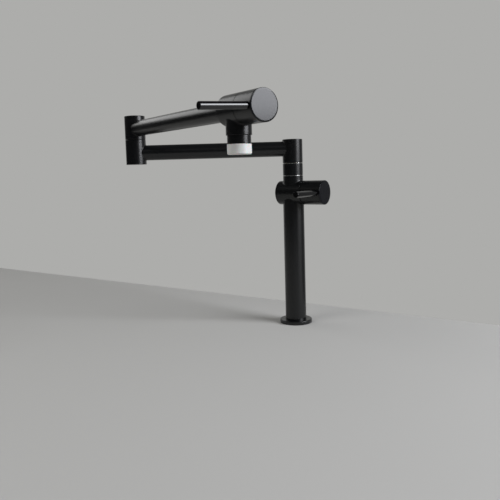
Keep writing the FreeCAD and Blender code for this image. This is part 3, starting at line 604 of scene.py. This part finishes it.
def turning_hub(name, where, below, above, grub_facing, body, node):
    """A hub open below for its post, with a socket for the arm and a hole for the grub screw."""
    grub_height = grub_rise - below
    levels = sorted({-socket_window, socket_window, grub_height - grub_window, grub_height + grub_window})
    corners = [(0, above - end_wall), (hub_bore, above - end_wall), (hub_bore, -below),
               (hub_radius, -below, eased), *((hub_radius, level) for level in levels),
               (hub_radius, above, top_bevel), (0, above)]
    mesh = turned(corners, [tube_socket(), grub_hole(grub_facing, grub_height)], step=1.25)
    fit(mesh, name, where, satin_lacquer, body, "satin_black", node)


def coped_ends(length, both):
    """The shape of an arm tube's ends: each that enters a hub follows the floor of its socket."""
    near = 0.01

    def shape(radius, height, angle):
        curve = math.sqrt(tube_start ** 2 - (radius * math.sin(angle)) ** 2)
        if height < near:
            return radius, curve
        if both and height > length - near:
            return radius, length - curve
        return radius, height
    return shape


def arm_tube(name, where, length, both, body, node):
    """An arm tube, measured from the hub's axis. `both` says whether its far end enters a hub as well."""
    bore = arm_radius - arm_wall
    stops = [0, tube_plain, length - tube_plain if both else length - 2, length]
    corners = [(bore, stops[3])] + [(bore, stop) for stop in reversed(stops[:3])]
    corners += [(arm_radius, stop) for stop in stops]
    mesh = turned(corners, closed=True, shape=coped_ends(length, both), step=25)
    fit(mesh, name, where, satin_lacquer, body, "satin_black", node)


hub_1_below = 22.5  # a hub's ends are measured from its arm's axis
hub_1_above = 14.9
arm_1_start = (0, 0, arm_1_height)
turning_hub("arm_hub", seat(arm_1_start, UP, arm_1_way), below=hub_1_below, above=hub_1_above,
            grub_facing=-90, body="arm_1", node="arm_1_hub")
arm_tube("lower_arm", seat(arm_1_start, arm_1_way, UP), length=math.hypot(knuckle.x, knuckle.y), both=True,
         body="arm_1", node="arm_1_tube")

knuckle_1 = seat((knuckle.x, knuckle.y, arm_1_height), UP, -arm_1_way)
cup_foot = -18.3
cup_rim = 20.7
fit(turned([(0, cup_foot), (hub_radius, cup_foot, eased), (hub_radius, -socket_window),
            (hub_radius, socket_window), (hub_radius, cup_rim, top_bevel), (post_hole, cup_rim),
            (post_hole, cup_foot + end_wall), (0, cup_foot + end_wall)], [tube_socket()], step=1.25),
    "knuckle_cup", knuckle_1, satin_lacquer, "arm_1", "satin_black", "knuckle_lower")

# Arm 2. The same tube, soldered into a second hub that turns on the knuckle's post above a thin acetal ring.
# It passes over arm 1, so that the arms fold past each other, and its far end carries the outlet body.

# Acetal, moulded in black: dark and nearly matt, so that the ring reads as the seam's shadow. Its grain is
# drawn coarser than the real one, to show.
black_acetal = grain(surface("moulded_black_acetal", {"Base Color": linear("#0c0c0d"), "IOR": 1.48}),
                     size=0.5, depth=0.004, roughness=(0.5, 0.6))
ring_radius = 15.4
ring_top = cup_rim + 0.5
fit(turned([(post_hole, cup_rim), (ring_radius, cup_rim, 0.15), (ring_radius, ring_top, 0.15),
            (post_hole, ring_top)], closed=True),
    "knuckle_ring", knuckle_1, black_acetal, "arm_1", "black_acetal", "knuckle_washer")

spout_joint = joints["spout_valve_turn"]
spout_way = Vector(spout_joint["axis"]).normalized()
spout_seam = 17
spout_axis = Vector(spout_joint["pos_m"]) / MM - spout_way * spout_seam
spout_axis.z = arm_2_height
tube_seat = -15
hub_2_below = 16.6
hub_2_above = 19.9
arm_2_start = Vector((knuckle.x, knuckle.y, arm_2_height))
arm_2_reach = (spout_axis - arm_2_start).length
turning_hub("knuckle_head", seat(arm_2_start, UP, spout_way), below=hub_2_below, above=hub_2_above,
            grub_facing=90, body="arm_2", node="knuckle_upper")
arm_tube("upper_arm", seat(arm_2_start, spout_way, UP), length=arm_2_reach + tube_seat - slip, both=False,
         body="arm_2", node="arm_2_tube")

# Grub screws. A small socket screw of stainless steel is sunk in the side of each hub. Its tip runs in a
# groove of the post, so that the hub turns but can't be lifted off.
screw_radius = 1.9
screw_tip = grub_floor + 0.1
screw_end = 15.4
key_corner = 1.1
key_floor = 13.4


def key_sides(radius, height, angle):
    """Gives the screw's socket its six sides, for a hexagon key."""
    if radius > key_corner + 0.1:
        return radius, height
    return six_sides(radius * 0.9, angle), height


for body, origin, out in (
        ("arm_1", Vector((0, 0, arm_1_height + grub_rise - hub_1_below)), -UP.cross(arm_1_way)),
        ("arm_2", arm_2_start + UP * (grub_rise - hub_2_below), UP.cross(spout_way))):
    node = body + "_grub_screw"
    screw = turned([(0, screw_tip), (screw_radius, screw_tip), (screw_radius, screw_end, 0.2),
                    (key_corner, screw_end), (key_corner, key_floor), (0, key_floor)],
                   shape=key_sides, step=0.5, columns=96)
    fit(screw, node + "_head", seat(origin, out, UP), rolled_steel, body, "stainless_steel", node)

# Outlet body. The second cast tee: the barrel carries on from arm 2, and a neck hangs from it for the
# aerator. Its fillet is tighter than the lower one, because the neck is nearly as wide as the barrel.

# The neck is measured from the barrel's axis, and the barrel from the neck's axis.
spout_back = -20
spout_window = 16.42
spout_edge = 16.75
spout_floor = -7
spout_chamber_floor = -14
outlet_radius = 15.5
outlet_root = 20.2
outlet_end = 29.8
thread_hole = 12.5
thread_floor = 20.8
outlet_bore = 5
outlet_bore_floor = 19.6
spout_neck = Branch(facing=0, height=0, low=-spout_window, high=spout_window, half_width=75,
                    wall=barrel_radius, radius=outlet_radius, bead=0.8,
                    corners=[(outlet_radius, outlet_root), (outlet_radius, outlet_end, eased),
                             (thread_hole, outlet_end), (thread_hole, thread_floor),
                             (outlet_bore, thread_floor), (outlet_bore, outlet_bore_floor),
                             (0, outlet_bore_floor)])
fit(turned([(0, tube_seat), (arm_radius + slip, tube_seat), (arm_radius + slip, spout_back),
            (barrel_radius, spout_back, back_edge), (barrel_radius, -spout_window),
            (barrel_radius, spout_window), (barrel_radius, spout_edge, seam_edge),
            (headwork_hole, spout_edge), (headwork_hole, spout_floor), (chamber_radius, spout_floor),
            (chamber_radius, spout_chamber_floor), (0, spout_chamber_floor)], [spout_neck], step=1.25),
    "spout_tee", seat(spout_axis, spout_way, -UP), satin_lacquer, "arm_2", "satin_black", "spout_valve_body")

# Aerator. A black sleeve screws up into the neck, and a white acetal ring with a perforated insert is
# pushed into the sleeve. The ring's lower edge is chamfered.

# Acetal, moulded in white: dense and a little waxy, so that light sinks in slightly at its rims and its
# highlights are soft, over the faint ripple of a moulded face.
white_acetal = grain(surface("moulded_white_acetal", {"Base Color": linear("#dededb"), "IOR": 1.48,
                                                      "Subsurface Weight": 0.15,
                                                      "Subsurface Scale": 1.5 * MM}),
                     size=1.4, depth=0.01, roughness=(0.36, 0.5))
spout_upright = seat(spout_axis, UP, spout_way)
# Heights are from the barrel's axis.
sleeve_radius = 14.2
sleeve_foot = -40.2
sleeve_shoulder = -30
sleeve_top = -22.5
sleeve_bore = 10
sleeve_thread = thread_hole - slip
white_foot = -52.3
white_radius = 14.6
white_chamfer = 1.1
white_bore = 9.5
white_plug = sleeve_bore - slip
plug_top = -36.2
fit(turned([(sleeve_bore, sleeve_foot), (sleeve_radius, sleeve_foot, eased),
            (sleeve_radius, sleeve_shoulder, eased), (sleeve_thread, sleeve_shoulder),
            (sleeve_thread, sleeve_top), (sleeve_bore, sleeve_top)], closed=True),
    "aerator_sleeve", spout_upright, satin_lacquer, "arm_2", "satin_black", "aerator_housing")
fit(turned([(white_bore, white_foot, 0.4), (white_radius - white_chamfer, white_foot, 0.3),
            (white_radius, white_foot + white_chamfer, 0.3), (white_radius, sleeve_foot, eased),
            (white_plug, sleeve_foot), (white_plug, plug_top), (white_bore, plug_top)], closed=True),
    "outlet_ring", spout_upright, white_acetal, "arm_2", "white_plastic", "aerator_ring")


def plate_tree():
    """A round plate: rings of holes round a middle one, each ring an instance of one small circle."""
    tree = bpy.data.node_groups.new("perforated_plate", "GeometryNodeTree")
    face = tree.interface
    for word in ("Plate Radius", "Hole Radius", "Thickness"):
        face.new_socket(word, in_out="INPUT", socket_type="NodeSocketFloat")
    face.new_socket("Finish", in_out="INPUT", socket_type="NodeSocketMaterial")
    face.new_socket("Geometry", in_out="OUTPUT", socket_type="NodeSocketGeometry")
    given = add(tree, "NodeGroupInput").outputs
    rim = add(tree, "GeometryNodeCurvePrimitiveCircle", {"Resolution": 96, "Radius": given["Plate Radius"]})
    hole = add(tree, "GeometryNodeCurvePrimitiveCircle", {"Resolution": 20, "Radius": given["Hole Radius"]})
    join = add(tree, "GeometryNodeJoinGeometry")
    tree.links.new(rim.outputs["Curve"], join.inputs[0])
    tree.links.new(hole.outputs["Curve"], join.inputs[0])
    for count, share in ((6, 1 / 3), (12, 2 / 3)):
        radius = add(tree, "ShaderNodeMath", {0: given["Plate Radius"], 1: share}, operation="MULTIPLY")
        ring = add(tree, "GeometryNodeMeshCircle", {"Vertices": count, "Radius": radius.outputs[0]})
        copies = add(tree, "GeometryNodeInstanceOnPoints", {"Points": ring.outputs[0],
                                                            "Instance": hole.outputs["Curve"]})
        tree.links.new(copies.outputs[0], join.inputs[0])
    flat = add(tree, "GeometryNodeRealizeInstances", {"Geometry": join.outputs[0]})
    filled = add(tree, "GeometryNodeFillCurve", {"Curve": flat.outputs[0]})
    thick = add(tree, "GeometryNodeExtrudeMesh", {"Mesh": filled.outputs[0], "Individual": False,
                                                  "Offset Scale": given["Thickness"]})
    under = add(tree, "GeometryNodeFlipFaces", {"Mesh": filled.outputs[0]})
    both = add(tree, "GeometryNodeJoinGeometry")
    tree.links.new(thick.outputs[0], both.inputs[0])
    tree.links.new(under.outputs[0], both.inputs[0])
    welded = add(tree, "GeometryNodeMergeByDistance", {"Geometry": both.outputs[0], "Distance": 0.001 * MM})
    real = add(tree, "GeometryNodeRealizeInstances", {"Geometry": welded.outputs[0]}).outputs[0]
    finished = add(tree, "GeometryNodeSetMaterial", {"Geometry": real, "Material": given["Finish"]})
    add(tree, "NodeGroupOutput", {"Geometry": finished.outputs[0]})
    return tree


insert_foot = 50.5
insert_hole = 0.95
insert_thickness = 6
insert = bmesh.new()
insert.from_mesh(grow(bpy.data.meshes.new("empty"), plate_tree(),
                      {"Plate Radius": (white_bore - slip) * MM, "Hole Radius": insert_hole * MM,
                       "Thickness": insert_thickness * MM, "Finish": white_acetal}))
bmesh.ops.recalc_face_normals(insert, faces=insert.faces)
fit(insert, "outlet_insert", Matrix.Translation((spout_axis - UP * insert_foot) * MM), white_acetal, "arm_2",
    "white_plastic", "aerator_insert")

# Knobs, end caps and levers, the same on both valves. A turned knob carries on the barrel past a fine slit,
# a flat disc with a rounded rim closes it, and a polished rod is screwed into its side as the lever.

# Gloss black lacquer, flowed on and polished: deep black, with sharp, narrow highlights and no orange peel
# to speak of.
gloss_lacquer = grain(surface("gloss_black_lacquer", {"Base Color": linear("#050506"), "IOR": 1.58}),
                      size=1.2, depth=0.0005, roughness=(0.07, 0.09))
# The discs are faced on a lathe before the same satin lacquer, so they are smoother than the cast pieces and
# mirror the room as one soft grey.
disc_lacquer = grain(surface("satin_black_disc", {"Base Color": linear("#0d0e12"), "IOR": 1.5,
                                                  "Specular IOR Level": 0.32}),
                     size=0.7, depth=0.003, roughness=(0.16, 0.19))
# The knob and the disc are measured from the middle of the slit, and the lever from the barrel's axis.
knob_start = 0.25
knob_bevel = 0.5
knob_end = 34
knob_hollow = 16.6
hollow_end = 23
peg_radius = 8.1
peg_hole = peg_radius + slip
peg_hole_floor = 31
peg_end = peg_hole_floor + 0.3
disc_back = knob_end + 0.02
disc_front = 36
disc_bevel = 1.7
lever_place = 28.7
lever_radius = 4.6
lever_hole = lever_radius + slip
lever_seat = 18.4
lever_end = 79.5
stud_radius = 3  # the lever's threaded end
stud_hole = stud_radius + slip
stud_hole_floor = 10.4
stud_end = stud_hole_floor + 0.3
lever_low = 23.9  # the window in the knob's wall that its hole opens in
lever_high = 33.4
for side, droop in (("lower", 0), ("spout", 2.3)):
    joint = joints[side + "_valve_turn"]
    origin = Vector(joint["pos_m"]) / MM
    way = Vector(joint["axis"]).normalized()
    lever_way = Matrix.Rotation(math.radians(droop), 3, way) @ way.cross(UP)
    body = side + "_handle"
    where = seat(origin, way, lever_way)
    hole = Branch(facing=0, height=lever_place, low=lever_low, high=lever_high, half_width=22.5,
                  wall=barrel_radius, radius=lever_hole, bead=0,
                  corners=[(lever_hole, lever_seat), (stud_hole, lever_seat), (stud_hole, stud_hole_floor),
                           (0, stud_hole_floor)])
    knob = turned([(0, hollow_end), (knob_hollow, hollow_end), (knob_hollow, knob_start),
                   (barrel_radius - knob_bevel, knob_start),
                   (barrel_radius, knob_start + knob_bevel, seam_edge), (barrel_radius, lever_low),
                   (barrel_radius, lever_high), (barrel_radius, knob_end, 0.3), (peg_hole, knob_end),
                   (peg_hole, peg_hole_floor), (0, peg_hole_floor)], [hole], step=1.25)
    fit(knob, side + "_grip", where, satin_lacquer, body, "satin_black", side + "_knob")
    cap = turned([(0, peg_end), (peg_radius, peg_end), (peg_radius, disc_back),
                  (barrel_radius, disc_back, 0.2), (barrel_radius, disc_front - 0.35, 0.6),
                  (barrel_radius - disc_bevel, disc_front, 2), (0, disc_front)])
    fit(cap, side + "_disc", where, disc_lacquer, body, "satin_black", side + "_end_cap")
    rod = turned([(0, stud_end), (stud_radius, stud_end), (stud_radius, lever_seat),
                  (lever_radius, lever_seat, 0.2), (lever_radius, lever_end, 0.5), (0, lever_end)])
    fit(rod, side + "_rod", seat(origin + way * lever_place, lever_way, way), gloss_lacquer, body,
        "gloss_black", side + "_lever")

# Inner pieces. The posts, headworks, discs, spindles, seals and screws inside the shells keep their own
# solids, each with the finish of what it is made of.

# Alumina, pressed, fired and lapped: an ivory white with the hard gleam of a ground face. The grain is drawn
# far coarser than the real one, to show.
lapped_alumina = grain(surface("lapped_alumina", {"Base Color": linear("#ece9e1"), "IOR": 1.76}),
                       size=0.5, depth=0.001, roughness=(0.12, 0.2))
finishes = {"satin_black": satin_lacquer, "gloss_black": gloss_lacquer, "white_plastic": white_acetal,
            "bright_washer": polished_steel, "black_acetal": black_acetal, "black_rubber": nitrile_rubber,
            "brass": turned_brass, "stainless_steel": rolled_steel, "ceramic_white": lapped_alumina}
for subpart in frame["record"]["subparts"]:
    for slot in frame["nodes"][subpart["node"]].material_slots:
        slot.material = finishes[subpart["material_slot"]]

# Worktop, light and camera. The tap stands on a plain pale slab as thick as the worktop that it clamps.
# A softbox on the right makes the long highlights, a weaker one behind on the left lights the tops, and a
# faint fill in front lifts the shadows.

# Pale stone, honed: an even, matt light grey with a grain too slight to catch the eye.
pale_stone = grain(surface("pale_worktop", {"Base Color": linear("#c6c5c1"), "IOR": 1.45}),
                   size=3, depth=0.002, roughness=(0.8, 0.9))
slab = bmesh.new()
bmesh.ops.create_cube(slab, size=1)
slab_low = Vector((-1.35, -0.95, -worktop_thickness * MM))
slab_high = Vector((0.75, 0.128, 0))
for corner in slab.verts:
    corner.co = Vector([slab_high[i] if corner.co[i] > 0 else slab_low[i] for i in range(3)])
bmesh.ops.bevel(slab, geom=slab.edges, offset=0.002, segments=3, affect="EDGES", profile=0.5)
slab_data = bpy.data.meshes.new("worktop")
slab.to_mesh(slab_data)
slab.free()
slab_data.materials.append(pale_stone)
worktop = bpy.data.objects.new("worktop", slab_data)
bpy.context.scene.collection.objects.link(worktop)

# The room is a pale grey that darkens overhead, where no lamp hangs.
world = bpy.data.worlds.new("studio")
world.use_nodes = True
sky = world.node_tree
view_way = add(sky, "ShaderNodeTexCoord").outputs["Generated"]
height = add(sky, "ShaderNodeSeparateXYZ", {0: view_way}).outputs["Z"]
overhead = add(sky, "ShaderNodeMapRange", {"Value": height, "From Min": 0.32, "From Max": 0.75},
               interpolation_type="SMOOTHSTEP").outputs["Result"]
shade = add(sky, "ShaderNodeMix", {"Factor": overhead, "A": linear("#adadab"), "B": linear("#4c4c4d")},
            data_type="RGBA")
sky.links.new(shade.outputs["Result"], sky.nodes["Background"].inputs["Color"])
bpy.context.scene.world = world

camera_place = (0.4827, -0.8284, 0.2478)
camera_azimuth = math.radians(34.52)
camera_pitch = math.radians(90 - 5.61)
camera_roll = math.radians(-1.66)
across = Vector((math.cos(camera_azimuth), math.sin(camera_azimuth), 0))
ahead = Vector((-math.sin(camera_azimuth), math.cos(camera_azimuth), 0))
tap_middle = Vector((-0.03, -0.17, 0.27))


def softbox(name, direction, distance, width, height, radiance, colour="#ffffff", mirrored=True):
    """A flat lamp that looks at the tap. `direction` is right, away and up as the camera sees it.

    One that isn't `mirrored` lights the surfaces without a reflection of itself in them.
    """
    way = (across * direction[0] + ahead * direction[1] + UP * direction[2]).normalized()
    lamp = bpy.data.lights.new(name, "AREA")
    lamp.shape = "RECTANGLE"
    lamp.size = width
    lamp.size_y = height
    lamp.energy = radiance * math.pi * width * height
    lamp.color = linear(colour)[:3]
    holder = bpy.data.objects.new(name, lamp)
    holder.location = tap_middle + way * distance
    holder.rotation_euler = way.to_track_quat("Z", "Y").to_euler()
    holder.visible_camera = False
    holder.visible_glossy = mirrored
    bpy.context.scene.collection.objects.link(holder)


softbox("key", (0.865, -0.371, 0.355), distance=2, width=1.1, height=1.1, radiance=10.8, colour="#f7f9ff")
softbox("rim", (-0.69, 0.60, 0.52), distance=2, width=1.2, height=0.8, radiance=1.6)
softbox("fill", (-0.75, -0.45, 0.5), distance=1.4, width=0.9, height=0.9, radiance=2.6, mirrored=False)


def dark_cloth(name, colour, first, last, top):
    """A felt cloth that hangs in an arc round the tap, from one bearing to another, up to `top`.

    Black lacquer takes its depth from dark cloths that it mirrors. They stand outside what the camera shows.
    """
    distance = 1.6
    cloth = bmesh.new()
    strips = round((last - first) / 4)
    edges = []
    for i in range(strips + 1):
        bearing = math.radians(first + (last - first) * i / strips)
        spot = tap_middle - (ahead * math.cos(bearing) + across * math.sin(bearing)) * distance
        edges.append([cloth.verts.new((spot.x, spot.y, level)) for level in (-0.5, top)])
    for left, right in zip(edges, edges[1:]):
        cloth.faces.new((left[0], right[0], right[1], left[1]))
    data = bpy.data.meshes.new(name)
    cloth.to_mesh(data)
    cloth.free()
    data.materials.append(surface(name + "_felt", {"Base Color": linear(colour), "Roughness": 0.95}))
    hung = bpy.data.objects.new(name, data)
    hung.visible_camera = False
    bpy.context.scene.collection.objects.link(hung)


dark_cloth("front_cloth", "#3f3f40", first=-44, last=88, top=1.2)
dark_cloth("left_cloth", "#2b2b2c", first=88, last=132, top=0.62)
dark_cloth("right_cloth", "#949495", first=-130, last=-86, top=1.2)

lens = bpy.data.cameras.new("view")
lens.sensor_width = 36
lens.lens = 42.57
lens.shift_y = -0.04
lens.clip_start = 0.01
lens.clip_end = 20
camera = bpy.data.objects.new("view", lens)
camera.matrix_world = (Matrix.Translation(camera_place)
                       @ Matrix.Rotation(camera_azimuth, 4, "Z")
                       @ Matrix.Rotation(camera_pitch, 4, "X")
                       @ Matrix.Rotation(camera_roll, 4, "Z"))
bpy.context.scene.collection.objects.link(camera)
bpy.context.scene.camera = camera
bpy.context.scene.view_settings.view_transform = "Standard"
